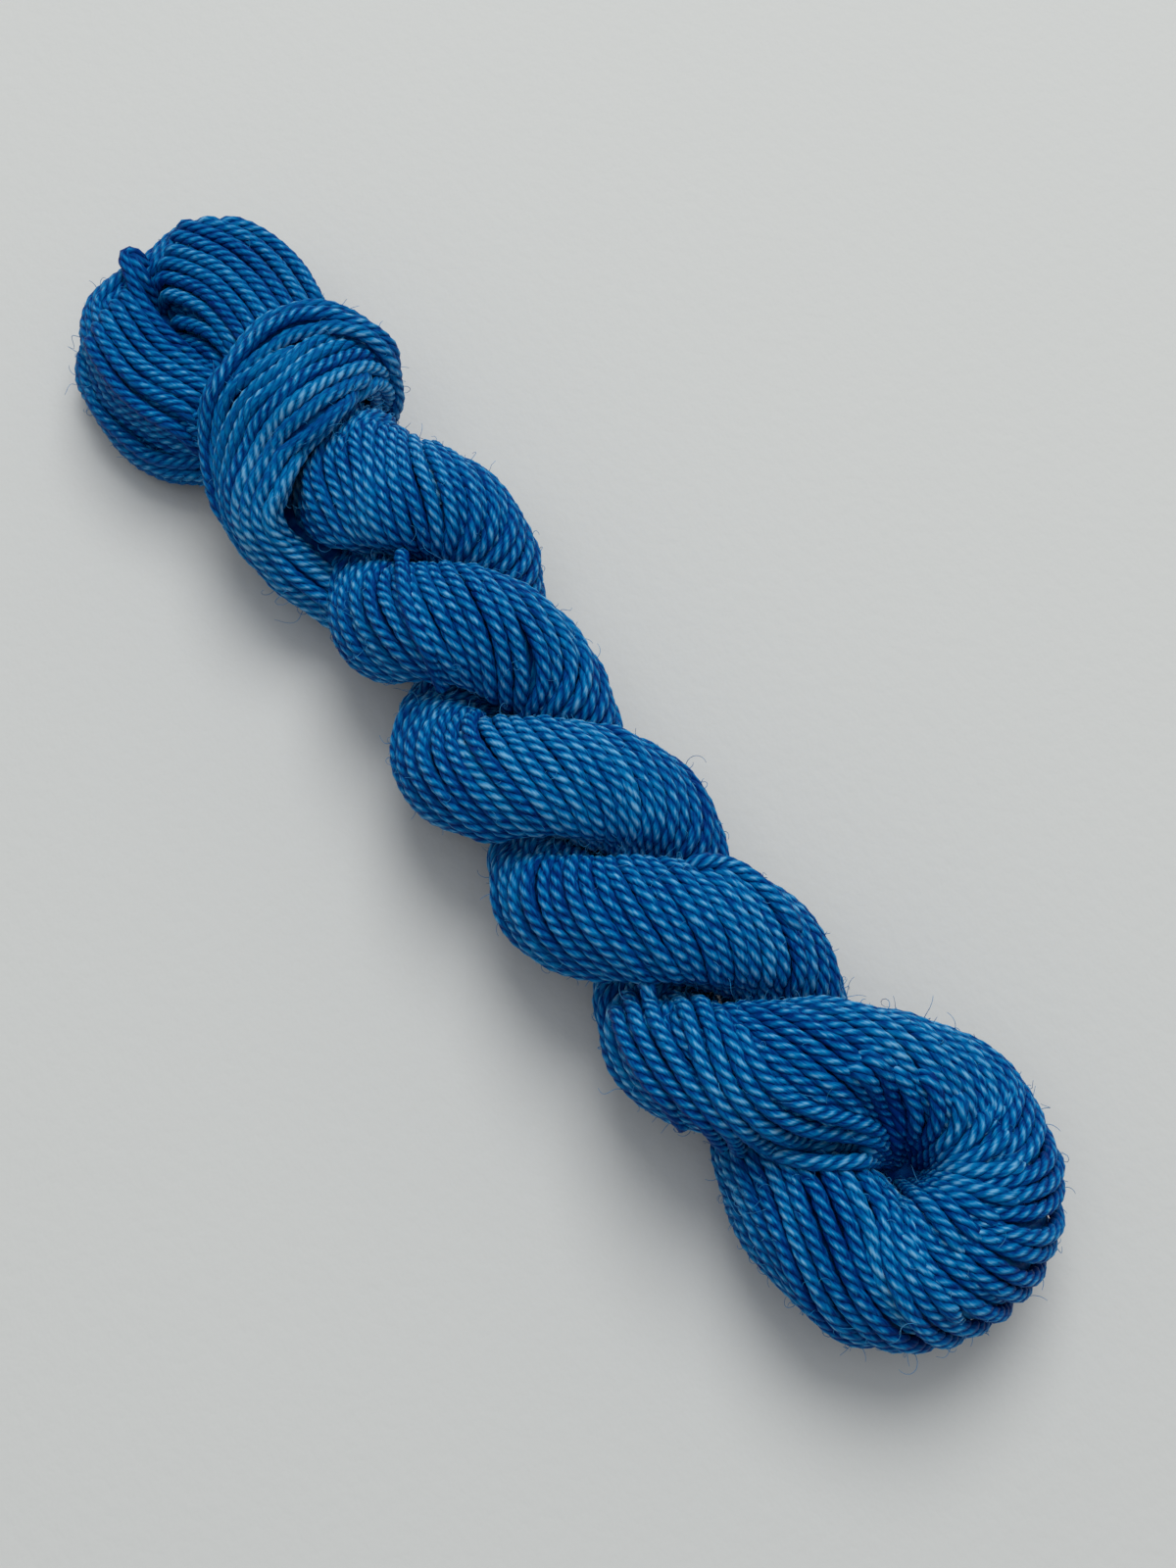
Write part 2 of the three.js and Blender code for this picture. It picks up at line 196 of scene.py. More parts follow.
# Strands drawn as they are seen in the photograph: x and y where the line of sight passes 8 mm
# above the floor, and the lift of each over the form that it lies on
SEEN_HEIGHT = 8.0
DRAWN_END_DEPTH = 2.6
SEEN = {
    "tail upper 1": (-0.3, [(-42, 8.6), (-47, 9.3), (-51, 8.8), (-53.8, 7.3), (-55.1, 5.6)]),
    "tail upper 2": (-0.3, [(-42, 7.5), (-47, 8.1), (-51, 7.8), (-54.3, 6.2), (-56.2, 4.5)]),
    "tail upper 3": (-0.3, [(-42, 6.4), (-47, 6.9), (-51, 6.6), (-54.6, 5), (-56.7, 3.4)]),
    "tail upper 4": (-0.3, [(-42, 5.3), (-47, 5.8), (-51, 5.3), (-54.4, 3.8), (-56.3, 2.1)]),
    "tail upper 5": (-0.3, [(-42, 4.2), (-47, 4.7), (-51, 4.1), (-53.9, 2.5), (-55.4, 0.8)]),
    "tail upper 6": (-0.3, [(-42, 3.1), (-47, 3.5), (-50.5, 3), (-53.4, 1.3), (-54.2, -0.8)]),
    "tail upper 7": (-0.3, [(-42, 2.1), (-47, 2.4), (-50, 1.9), (-52.4, 0.3), (-52.2, -1.9)]),
    "tail upper 8": (-0.3, [(-42, 1.1), (-46.5, 1.4), (-49.2, 0.8), (-51, -0.5), (-50.6, -2)]),
    "tail crease 1": (-0.5, [(-41, 0.3), (-44.5, 0.7), (-46.8, 0.2), (-48.4, -1), (-48.9, -2.2)]),
    "tail crease 2": (-0.7, [(-41, -0.6), (-44, -0.4), (-46, -0.9), (-47.5, -2), (-47.8, -2.8)]),
    "tail top strand": (0.3, [(-53.2, 0), (-54.6, -0.3), (-55.4, -0.6), (-55.4, -1.2), (-54.5, -1.6),
                              (-51, -2.4), (-47.5, -2.4), (-44.5, -1.9), (-41.5, -0.9), (-39, 0)]),
    "tail nub": (0.15, [(-50.5, -1.6), (-52.6, -1.2), (-54, -1), (-55.2, -0.9), (-56.4, -0.9)]),
    "tail lower 1": (-0.1, [(-54.6, -2.8), (-51, -3.2), (-47, -3.2), (-43, -2), (-40, -0.8)]),
    "tail lower 2": (-0.2, [(-54.3, -3.8), (-51, -4.3), (-47, -4.3), (-43, -3), (-40, -1.7)]),
    "tail lower 3": (-0.3, [(-53.9, -4.8), (-50.5, -5.5), (-46.5, -5.4), (-43, -4.2), (-39.8, -2.8)]),
    "tail lower 4": (-0.3, [(-53.3, -5.8), (-50, -6.6), (-46, -6.6), (-42, -5.2), (-39.4, -4)]),
    "tail lower 5": (-0.3, [(-52.6, -6.8), (-49.5, -7.7), (-45, -7.8), (-41, -6.6), (-38.8, -5.2)]),
    "under edge 1": (0.1, [(14.6, -3.6), (17, -4.9), (19.6, -5.6), (22.6, -6), (25.6, -6), (28, -5.6)]),
    "under edge 2": (0.05, [(14.6, -5), (17, -6.2), (19.8, -6.9), (22.8, -7), (25.2, -6.8), (27, -6.2)]),
    "under edge 3": (0.0, [(14.8, -6.4), (17.2, -7.5), (19.8, -8), (22.2, -8), (24.4, -7.5)]),
    "fold edge 1": (0.2, [(16.8, -2.6), (19.4, -3.5), (22, -4.5), (24.6, -5.1), (27.2, -5.1), (29.4, -4.4),
                          (31.2, -3.1), (32.5, -1.5), (33.6, 0.2), (34.6, 1.6)]),
    "fold edge 2": (0.15, [(17.8, -1.7), (20.4, -2.5), (23, -3.6), (25.5, -4.1), (28, -3.8), (30, -2.6),
                           (31.6, -0.9), (32.9, 0.8), (34.4, 2.1)]),
    "fold edge 3": (0.1, [(19, -1), (21.8, -1.9), (24.6, -2.8), (27.2, -2.8), (29.4, -1.8), (31, -0.3),
                          (32.6, 1.4), (34.4, 2.6)]),
    "fold edge 4": (0.0, [(20.4, -0.5), (23.6, -1.5), (26.4, -1.6), (28.8, -0.6), (30.6, 0.8), (32.4, 2.2),
                          (34.2, 3)]),
    "pit 1": (0.15, [(40.4, 9.4), (39.4, 7), (38, 5), (36.6, 3.6), (35.2, 2.6)]),
    "pit 2": (0.15, [(42.2, 7.4), (40.4, 5.6), (38.5, 4.2), (36.7, 3.1), (35.2, 2.4)]),
    "pit 3": (0.15, [(43, 5), (41, 4.2), (38.8, 3.4), (36.8, 2.6), (35, 2.1)]),
    "pit 4": (0.15, [(43.2, 2.8), (41, 2.7), (38.6, 2.5), (36.5, 2), (34.8, 1.6)]),
    "pit 5": (0.15, [(43, 1.2), (40.4, 1.4), (38, 1.5), (36, 1.2), (34.4, 0.9)]),
    "pit 6": (0.15, [(37.6, 10.2), (37.9, 7.8), (37.5, 5.6), (36.6, 4), (35.4, 2.8)]),
    "pit 7": (0.15, [(35, 9.6), (36.3, 7.8), (36.6, 5.8), (36.1, 4.2), (35.3, 3)]),
    "pit 8": (0.1, [(32.6, 8.5), (34.5, 7.5), (35.6, 6), (35.6, 4.4), (35, 3.1)]),
    "pit 9": (0.1, [(30, 7), (32.4, 6.9), (34, 6), (34.8, 4.7), (34.7, 3.3)]),
    "pit 10": (0.1, [(28.5, 5.6), (31, 5.7), (32.8, 5.2), (34, 4.3), (34.6, 3.2)]),
    "pit 11": (0.3, [(26.6, 4.3), (29.4, 4.9), (31.4, 4.7), (33.2, 4), (34.4, 3)]),
    "pit 12": (0.3, [(26.8, 3), (29.6, 3.8), (31.8, 3.8), (33.5, 3.3), (34.8, 2.5)]),
    "fold side": (-0.1, [(37, -0.7), (39.4, -1.1), (41.6, -1.5), (43.8, -1.6), (45.6, -1)]),
    "curl": (0.05, [(9.8, 2.6), (10.8, 4.3), (12, 5.6), (14, 6.4), (17, 6.7), (20, 6.2)]),
    "crossing": (0.1, [(-22.6, 2.2), (-20.5, 0.8), (-18, -0.6), (-15, -1.5), (-11.5, -2)]),
}

CREASE_DEPTH = 1.0  # between the halves, of its sides
CREASE_START = 4.4  # from a half's middle line
CREASE_REACH = 1.1
PIT = [(31.5, 4.0), (35.8, 2.6)]  # seen likewise, from end to end
PIT_DEPTH = 2.6
PIT_REACH = 1.5
PIT_SHADE = 5.0  # as steps of tone, where little light comes in between the strands
# Painted light by bundle: the band's strands are coloured lighter, and the tail's a little darker as
# painted shade.
BAND_PAINTED_LIGHT = 1.5
TAIL_PAINTED_SHADE = -0.2
# Strength of the painted sheen on the tail's ply crests, beside that of the rope.
TAIL_GLEAM = 0.7  # of its crests, beside those of the rope

# Eggs of inner thread in the hollows between bundles, coloured darker as painted shade: x, y, z, and half
# sizes along, across and up
HOLLOWS = [
    (35.2, 2.8, 3.4, 4.4, 2.8, 2.9),
    (-48, -1.7, 3.6, 5.0, 1.6, 3.2),
    (-36.0, 6.1, 7.4, 2.4, 1.2, 2.4),
    (-28.5, -2.6, 4.2, 5.0, 2.4, 2.2),
]

UP = np.array([0.0, 0.0, 1.0])


def unit(vectors):
    return vectors / (np.linalg.norm(vectors, axis=-1, keepdims=True) + 1e-12)


def smoothstep(low, high, at):
    part = np.clip((at - low) / (high - low), 0, 1)
    return part * part * (3 - 2 * part)


def columns_of(rows, names):
    return dict(zip(names.split(), np.array(rows, float).T))


def eased(table, key, name, at):
    """A column of a table at values of its key column, eased from row to row."""
    keys, values = table[key], table[name]
    at = np.clip(at, keys[0], keys[-1])
    i = np.clip(np.searchsorted(keys, at, side="right") - 1, 0, len(keys) - 2)
    return values[i] + (values[i + 1] - values[i]) * smoothstep(keys[i], keys[i + 1], at)


def spline(values, per_span, closed):
    """A smooth line through the rows of values, with per_span points from each to the next."""
    count = len(values)
    if closed:
        padded = np.concatenate([values[-1:], values, values[:2]])
    else:
        before, after = 2 * values[0] - values[1], 2 * values[-1] - values[-2]
        padded = np.concatenate([[before], values, [after]])
    spans = count if closed else count - 1
    t = (np.arange(per_span) / per_span)[:, None]
    line = []
    for i in range(spans):
        a, b, c, d = padded[i : i + 4]
        line.append(
            0.5 * (2 * b + (c - a) * t + (2 * a - 5 * b + 4 * c - d) * t**2
                   + (3 * b - a - 3 * c + d) * t**3)
        )
    if not closed:
        line.append(values[-1:])
    return np.concatenate(line)


def evened(values, reach):
    """Values along a line, each the mean of those up to reach places away from it."""
    width = 2 * reach + 1
    return np.convolve(np.pad(values, reach, mode="edge"), np.ones(width) / width, "valid")


def lengths_along(points):
    steps = np.linalg.norm(np.diff(points, axis=0), axis=1)
    return np.concatenate([[0], np.cumsum(steps)])


def pressed(z):
    """A height after the thread has been pressed against the surface it lies on."""
    soft = PRESS_SOFTNESS * np.logaddexp(0, (z + PRESS_DEPTH) / PRESS_SOFTNESS) - PRESS_DEPTH
    return np.maximum(soft, 0)


def slow_noise(rng, s, unevenness):
    """A smooth random line along s, as far to either side and as long in its waves as given."""
    height, wavelength = unevenness
    total = np.zeros_like(s)
    for scale, weight in ((1.0, 0.6), (0.53, 0.35), (0.29, 0.2)):
        phase = rng.uniform(0, 2 * np.pi)
        stretch = rng.uniform(0.85, 1.2)
        total = total + weight * np.sin(2 * np.pi * s / (wavelength * scale * stretch) + phase)
    return height * total


class Form:
    """A laid bundle: its middle line, with the frame and its own half sizes along it."""

    def __init__(self, points, outwards, front, rear, flank, twist, is_half):
        self.points = points
        self.s = lengths_along(points)
        self.ahead = unit(np.gradient(points, axis=0))
        along = np.sum(outwards * self.ahead, axis=1, keepdims=True)
        self.out = unit(outwards - along * self.ahead)
        self.aside = np.cross(self.ahead, self.out)
        turning = np.linalg.norm(np.gradient(self.ahead, axis=0), axis=1)
        bend_radius = np.gradient(self.s) / np.maximum(turning, 1e-6)
        self.front = front
        self.rear = np.minimum(rear, FULLEST_BEND * bend_radius)
        self.flank = flank
        steps = np.diff(self.s, prepend=0)
        self.roll = np.cumsum(twist * steps)
        soft_bend = np.clip(evened(1 / bend_radius, 20), 0, 0.25)
        stretch = 1 + soft_bend * front * np.clip(self.out[:, 2], 0, 1)
        self.slant = np.arctan(twist * front / stretch)  # of the strands, on the upper side
        self.is_half = is_half
        self.turns = np.linspace(0, 2 * np.pi, RING_SAMPLES + 1)
        out, aside = self.section(self.turns[None, :], STRAND / 2)
        chords = np.hypot(np.diff(out, axis=1), np.diff(aside, axis=1))
        lengths = np.concatenate([np.zeros((len(points), 1)), np.cumsum(chords, axis=1)], 1)
        self.girth = lengths[:, -1]
        self.shares = lengths / self.girth[:, None]

    def section(self, turn, inset):
        """A ring's reach outward and aside, for a row of turns at each station."""
        c, s = np.cos(turn), np.sin(turn)
        flat, square = (INNER_FLATNESS, INNER_SQUARENESS) if self.is_half else (1, 1)
        inset = np.broadcast_to(inset, len(self.points))
        front, rear, flank = (np.maximum(size - inset, 0.2)[:, None]
                              for size in (self.front, self.rear, self.flank))
        out = np.where(c > 0, front * c, -rear * np.abs(c) ** flat)
        aside = flank * np.sign(s) * np.abs(s) ** np.where(c > 0, 1, square)
        return out, aside

    def surface(self, lay, inset):
        """Points at a depth under the form's surface. lay is the way round in radians, at an
        even pace: 0 is outward, and a quarter turn is aside."""
        share = np.mod(lay / (2 * np.pi), 1)
        i = np.clip(np.sum(self.shares <= share[:, None], axis=1) - 1, 0, RING_SAMPLES - 1)
        rows = np.arange(len(share))
        low, high = self.shares[rows, i], self.shares[rows, i + 1]
        turn = self.turns[i] + self.turns[1] * (share - low) / (high - low)
        out, aside = self.section(turn[:, None], inset)
        return self.drawn_in(self.points + out * self.out + aside * self.aside)

    def drawn_in(self, points):
        """Points drawn towards their own middle line where the other half presses on them."""
        if not self.is_half:
            return points
        fold = np.argmax(self.points[:, 0])
        is_rope = self.points[:, 0] < FOLD_X
        gap = np.full(len(points), np.inf)
        first_half, second_half = slice(None, fold), slice(fold, None)
        for here, there in ((first_half, second_half), (second_half, first_half)):
            others = self.points[there][is_rope[there]][::4]
            away = np.linalg.norm(points[here, None] - others[None], axis=2).min(axis=1)
            gap[here] = np.maximum(away - CREASE_START, 0)
        crease = CREASE_DEPTH * np.exp(-((gap / CREASE_REACH) ** 2))
        crease = crease * smoothstep(FOLD_X + 1, FOLD_X - 3, self.points[:, 0])
        return points - crease[:, None] * unit(points - self.points)


def half_form():
    table = columns_of(HALVES, HALVES_COLUMNS)
    along = np.arange(NECK_START, HALF_END, FINE_STEP)

    def column(name):
        return eased(table, "along", name, along)

    is_back = along > FOLD_X + FOLD_LENGTH
    is_turn = (along > FOLD_X) & ~is_back
    x = np.where(is_back, 2 * FOLD_X + FOLD_LENGTH - along, along)
    last_crest = FIRST_CREST_X + (LOBES - 1) * LOBE_SPACING
    steady = np.pi * (0.5 + (x - FIRST_CREST_X) / LOBE_SPACING)
    left = np.clip((FOLD_X - x) / (FOLD_X - last_crest), 0, 1)
    turn = np.where(x < last_crest, steady, np.pi * (LOBES - 0.5 * left**FOLD_EASE))
    turn = turn + np.where(is_back, np.pi, 0)
    bend = np.pi * np.clip((along - FOLD_X) / FOLD_LENGTH, 0, 1)
    outward = np.stack([
        np.where(is_turn, np.sin(bend), 0),
        np.where(is_turn, np.cos(bend), -np.cos(turn)),
        np.where(is_turn, 0, np.sin(turn)),
    ], axis=1)
    offset = column("offset")
    points = np.stack([
        np.where(is_turn, FOLD_X + FOLD_REACH * np.sin(bend), x),
        column("across") + offset * outward[:, 1],
        column("height") + REST_SQUASH * offset * outward[:, 2],
    ], axis=1)
    leaning = smoothstep(NECK_START, FIRST_CREST_X, x)
    points[:, 0] -= LEAN * leaning * (points[:, 1] - LEAN_MIDDLE)
    settled = smoothstep(NECK_START, FIRST_CREST_X, along)[:, None]
    is_neck = (along < FIRST_CREST_X)[:, None]
    outward = np.where(is_neck, outward * settled + UP * (1 - settled), outward)
    for _ in range(SMOOTHING_PASSES):
        for line in (points, outward):
            line[1:-1] = 0.5 * line[1:-1] + 0.25 * (line[:-2] + line[2:])
    return Form(points, outward, column("outward"), column("inward"), column("sideways"),
                column("twist"), True)


def table_form(rows, names, out_column, aside_column, closed, outward_at):
    table = columns_of(rows, names)
    line = spline(np.array(rows, float), 60, closed)
    if closed:
        line = np.concatenate([line, line[:1]])
    at = dict(zip(names.split(), line.T))
    points = line[:, :3]
    outward = outward_at(points, unit(np.gradient(points, axis=0)))
    twist = at["twist"] if "twist" in table else np.zeros(len(line))
    return Form(points, outward, at[out_column], at[out_column], at[aside_column], twist, False)


def band_form(rows, closed):
    def outward_at(points, ahead):
        return (points - NECK_MIDDLE) * (0, 1, 1)

    return table_form(rows, BAND_COLUMNS, "thick", "wide", closed, outward_at)


def tail_form(rows):
    def outward_at(points, ahead):
        return np.cross(ahead, UP)

    return table_form(rows, TAIL_COLUMNS, "wide", "high", False, outward_at)


def surfacing_order(count):
    """Ranks for strands round a bundle, so that however many lie on top, they are spread."""
    order = []
    for ways in ((0, 2, 1, 3), (1, 3, 2, 0)):
        for start in ways[: 1 if count % 4 else 4]:
            order += [i for i in range(start, count, 4) if i not in order]
    order += [i for i in range(count) if i not in order]
    ranks = np.empty(count)
    ranks[order] = np.arange(count)
    return ranks


def surface_lay(form, count, rng, spacing, deeper=0.0):
    """Where each of a bundle's outer strands lies: its turn and its depth, along the form.

    As many as fit lie at the surface, and the others lie between and below them.
    """
    room = form.girth * np.cos(form.slant) / spacing
    ranks = surfacing_order(count)
    shown = np.clip(room[None, :] - ranks[:, None], 0, 1)
    shown = smoothstep(0, 1, np.array([evened(row, 25) for row in shown]))
    shares = 0.5 * (shown + np.roll(shown, -1, axis=0)) + 0.02
    before = np.concatenate([np.zeros((1, shares.shape[1])), np.cumsum(shares, axis=0)[:-1]])
    turns = 2 * np.pi * before / shares.sum(0)
    mean_radius = form.girth / (2 * np.pi)
    lays = []
    swells = [slow_noise(rng, form.s, SWELL) for _ in range(count // 3 + 1)]
    for j in range(count):
        sway = slow_noise(rng, form.s, SWAY) / mean_radius / np.cos(form.slant)
        rise = slow_noise(rng, form.s, RISE) + swells[j // 3]
        depth = STRAND / 2 - STAND_OUT + deeper + 1.1 * SECOND_LAYER * (1 - shown[j]) + rise
        lays.append((turns[j] + form.roll + sway, depth, shown[j]))
    return lays


def on_floor(points, radius):
    lifted = points.copy()
    lifted[:, 2] = pressed(points[:, 2] - radius) + radius
    return lifted


def even(values, s, step):
    """Rows of values along s, taken again at even steps."""
    count = max(int(round((s[-1] - s[0]) / step)), 2)
    at = np.linspace(s[0], s[-1], count + 1)
    return np.stack([np.interp(at, s, column) for column in values.T], axis=1)


class Mesh:
    """Vertices and faces gathered from many tubes, with each vertex's own values."""

    def __init__(self):
        self.points, self.quads, self.uvs, self.tones, self.crest_sheens = [], [], [], [], []
        self.lines = []  # of its outer strands, with the way outward
        self.count = 0

    def tube(self, rings, along, tone, crest_sheen, slide=0.0):
        """A tube through rings of points [ring, side, xyz], with a lid at each end."""
        rows, sides = rings.shape[:2]
        tone = np.broadcast_to(tone, rows)
        base = self.count + np.arange(rows * sides).reshape(rows, sides)
        here, aside = base, np.roll(base, -1, axis=1)
        quads = np.stack([here[:-1], aside[:-1], aside[1:], here[1:]], axis=-1).reshape(-1, 4)
        round_at = np.arange(sides + 1) / sides
        u0, u1 = np.meshgrid(round_at[:-1], along[:-1])[0], np.meshgrid(round_at[1:], along[:-1])[0]
        v0 = np.repeat(along[:-1, None], sides, axis=1)
        v1 = np.repeat(along[1:, None], sides, axis=1)
        corners = [u0 + slide * v0, v0, u1 + slide * v0, v0, u1 + slide * v1, v1, u0 + slide * v1, v1]
        uv = np.stack(corners, axis=-1).reshape(-1, 4, 2)
        self.points.append(rings.reshape(-1, 3))
        self.tones.append(np.repeat(tone, sides))
        self.crest_sheens.append(np.broadcast_to(crest_sheen, (rows, sides)).ravel())
        self.count += rows * sides
        self.quads.append(quads)
        self.uvs.append(uv)
        for ring, v, flip in ((base[0], along[0], True), (base[-1], along[-1], False)):
            end = 0 if flip else -1
            self.lid(rings[end].mean(0), ring[::-1] if flip else ring, v, tone[end])

    def lid(self, middle, ring, v, tone):
        self.points.append(middle[None])
        self.tones.append(np.array([tone]))
        self.crest_sheens.append(np.zeros(1))
        centre = self.count
        self.count += 1
        following = np.roll(ring, -1)
        quads = np.stack([ring, following, np.full(len(ring), centre)], axis=-1)
        self.quads.append(np.concatenate([quads, np.full((len(ring), 1), -1)], axis=1))
        self.uvs.append(np.tile([0.5, v], (len(ring), 4, 1)))

    def triangles(self):
        corners = np.concatenate(self.quads)
        return int(np.sum(np.where(corners[:, 3] < 0, 1, 2)))

    def make(self, name, material):
        points = (np.concatenate(self.points) - MIDDLE) * MM
        corners = np.concatenate(self.quads)
        uvs = np.concatenate(self.uvs)
        used = corners >= 0
        sizes = used.sum(1)
        data = bpy.data.meshes.new(name)
        data.vertices.add(len(points))
        data.vertices.foreach_set("co", points.astype(np.float32).ravel())
        data.loops.add(int(sizes.sum()))
        data.loops.foreach_set("vertex_index", corners[used].astype(np.int32))
        data.polygons.add(len(corners))
        starts = np.concatenate([[0], np.cumsum(sizes)[:-1]])
        data.polygons.foreach_set("loop_start", starts.astype(np.int32))
        data.polygons.foreach_set("use_smooth", np.ones(len(corners), bool))
        layer = data.uv_layers.new(name="strand")
        layer.uv.foreach_set("vector", uvs[used].astype(np.float32).ravel())
        for label, values in (("tone", self.tones), ("crest_sheen", self.crest_sheens)):
            layer = data.attributes.new(label, "FLOAT", "POINT")
            layer.data.foreach_set("value", np.concatenate(values).astype(np.float32))
        data.update(calc_edges=True)
        data.validate()
        data.materials.append(material)
        piece = bpy.data.objects.new(name, data)
        bpy.context.collection.objects.link(piece)
        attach(piece, "root")
        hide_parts("hank")
        print(name, self.triangles(), "triangles")
        return piece


def frame_along(points, toward):
    ahead = unit(np.gradient(points, axis=0))
    out = unit(toward - np.sum(toward * ahead, axis=1, keepdims=True) * ahead)
    return ahead, out, np.cross(ahead, out)


def add_strand(mesh, points, toward, rng, painted_light=0.0, gleam=1.0):
    """A plied strand along a line of points; toward is roughly the way out of the bundle."""
    s = lengths_along(points)
    if s[-1] < 2 * RING_STEP:
        return
    both = even(np.concatenate([points, toward], axis=1), s, RING_STEP)
    points, toward = both[:, :3], both[:, 3:]
    s = lengths_along(points)
    _, out, aside = frame_along(points, toward)
    # Each strand's tone varies at random. Painted light for its bundle is added (lighter on the band,
    # darker on the tail), and painted shade near the pit inside the fold.
    tone = rng.normal(painted_light, 1) - PIT_SHADE * pit_closeness(points)
    pitch = PLY_PITCH * rng.uniform(0.94, 1.06)
    swell = 1 + slow_noise(rng, s, THICKENING)
    phase = rng.uniform(0, 2 * np.pi) - 2 * np.pi * s / pitch + slow_noise(rng, s, TURNING)
    around = 2 * np.pi * (np.arange(PLY_SIDES) + PLY_SIDES // 2) / PLY_SIDES
    ridge = gleam * np.clip((np.cos(around) - 0.3) / 0.7, 0, 1)
    for ply in range(PLIES):
        angle = phase + 2 * np.pi * ply / PLIES
        c, d = np.cos(angle)[:, None], np.sin(angle)[:, None]
        ply_out = out * c + aside * d
        ply_aside = aside * c - out * d
        middle = points + PLY_OFFSET * swell[:, None] * (out * c + STRAND_SPREAD * aside * d)
        depth = (PLY_DEPTH * swell)[:, None, None] * np.cos(around)[None, :, None]
        breadth = (PLY_BREADTH * swell)[:, None, None] * np.sin(around)[None, :, None]
        rings = middle[:, None] + depth * ply_out[:, None] + breadth * ply_aside[:, None]
        rings[..., 2] = np.maximum(rings[..., 2], 0)
        ply_tone_and_shade = tone + 0.25 * rng.normal()
        # Painted sheen: a ply's outer face is coloured lighter where the ply lies on the strand's outer
        # side, so the grooves between plies stay darker.
        crest_sheen = ridge * np.clip(c, 0, 1) ** 3
        mesh.tube(rings, s + 37.0 * ply, ply_tone_and_shade, crest_sheen, FIBRE_SLANT)


def round_rings(points, toward, radius, sides):
    """Rings round a line of points, of one radius or one for each point."""
    _, out, aside = frame_along(points, toward)
    around = 2 * np.pi * np.arange(sides) / sides
    rim = np.cos(around)[:, None] * out[:, None] + np.sin(around)[:, None] * aside[:, None]
    return points[:, None] + radius * rim


def add_plain(mesh, points, toward, tone):
    """A strand of the second layer, without its plies."""
    s = lengths_along(points)
    both = even(np.concatenate([points, toward], axis=1), s, PLAIN_STEP)
    rings = round_rings(both[:, :3], both[:, 3:], PLAIN_RADIUS, PLAIN_SIDES)
    rings[..., 2] = np.maximum(rings[..., 2], 0)
    # A faint painted sheen on the plain strands.
    mesh.tube(rings, lengths_along(both[:, :3]), tone, 0.05)


def runs(mask):
    """First and last index of each unbroken run of True."""
    edges = np.flatnonzero(np.diff(np.concatenate([[0], mask.astype(int), [0]])))
    return list(zip(edges[::2], edges[1::2]))


def pit_closeness(points):
    """How near each point is to the pit inside the fold, from 0 to 1."""
    low, high = np.array(PIT[0]), np.array(PIT[1])
    seen = seen_at(points) - low
    share = np.clip(seen @ (high - low) / np.sum((high - low) ** 2), 0, 1)
    away = np.hypot(*(seen - share[:, None] * (high - low)).T)
    return np.exp(-((away / PIT_REACH) ** 2)) * smoothstep(3, 8, points[:, 2])


def dented(points):
    """Points lowered round the pit, where the strands of the fold dip towards each other."""
    return points - PIT_DEPTH * pit_closeness(points)[:, None] * UP


def lay_strands(form, lays, meshes, rng, painted_light=0.0, gleam=1.0):
    """The strands of a bundle, plied where they show."""
    for turn, depth, shown in lays:
        points = on_floor(form.surface(turn, depth), STRAND / 2)
        toward = points - form.points
        points = dented(points)
        for first, last in runs(shown > 0.12):
            if last - first > 20:
                mesh = min(meshes, key=lambda one: one.count)
                add_strand(mesh, points[first:last], toward[first:last], rng, painted_light, gleam)
                mesh.lines.append((points[first:last], unit(toward[first:last])))


def lay_second_layer(form, count, mesh, rng):
    turns = 2 * np.pi * np.arange(count) / count
    for turn in turns:
        points = form.surface(turn + form.roll, STRAND / 2 + SECOND_LAYER)
        points = on_floor(points, STRAND / 2)
        add_plain(mesh, points, points - form.points, rng.normal(0, 1))


def egg(x, y, z, long, wide, high, rows, sides):
    tilt = np.linspace(0.02, np.pi - 0.02, rows)[:, None]
    around = 2 * np.pi * np.arange(sides) / sides
    return np.stack([x - long * np.cos(tilt) + 0 * around,
                     y + wide * np.sin(tilt) * np.cos(around),
                     z + high * np.sin(tilt) * np.sin(around)], axis=-1)


def seen_surface(forms):
    """Points of the forms' surfaces, with where each is seen on the level of the drawn strands."""
    found = [egg(*row, 40, 80).reshape(-1, 3) for row in HOLLOWS]
    for form in forms:
        for turn in np.linspace(0, 2 * np.pi, 60, endpoint=False):
            found.append(form.surface(np.full(len(form.s), turn), 0)[::2])
    found = np.concatenate(found)
    found = found[found[:, 2] > 0]
    return found, seen_at(found)


def seen_at(points):
    scale = (CAMERA_PLACE[2] - SEEN_HEIGHT) / (CAMERA_PLACE[2] - points[:, 2:])
    return CAMERA_PLACE[:2] + (points[:, :2] - CAMERA_PLACE[:2]) * scale


def draped(drawn, lift, surface, seen):
    """The line of a drawn strand, laid on the forms, its two ends sinking between the others."""
    line = spline(np.array(drawn, float), 24, False)
    heights = []
    for at in line:
        near = np.hypot(*(seen - at).T) < 0.55
        heights.append(surface[near, 2].max() if near.any() else np.nan)
    heights = np.array(heights)
    known = np.isfinite(heights)
    heights = np.interp(np.arange(len(line)), np.flatnonzero(known), heights[known])
    heights = evened(heights, 10)
    scale = (CAMERA_PLACE[2] - heights) / (CAMERA_PLACE[2] - SEEN_HEIGHT)
    xy = CAMERA_PLACE[:2] + (line - CAMERA_PLACE[:2]) * scale[:, None]
    points = np.concatenate([xy, heights[:, None]], axis=1)
    s = lengths_along(points)
    sunk = 1 - smoothstep(0, 2.2, s) * smoothstep(0, 2.2, s[-1] - s)
    points[:, 2] += lift - DRAWN_END_DEPTH * sunk
    return points


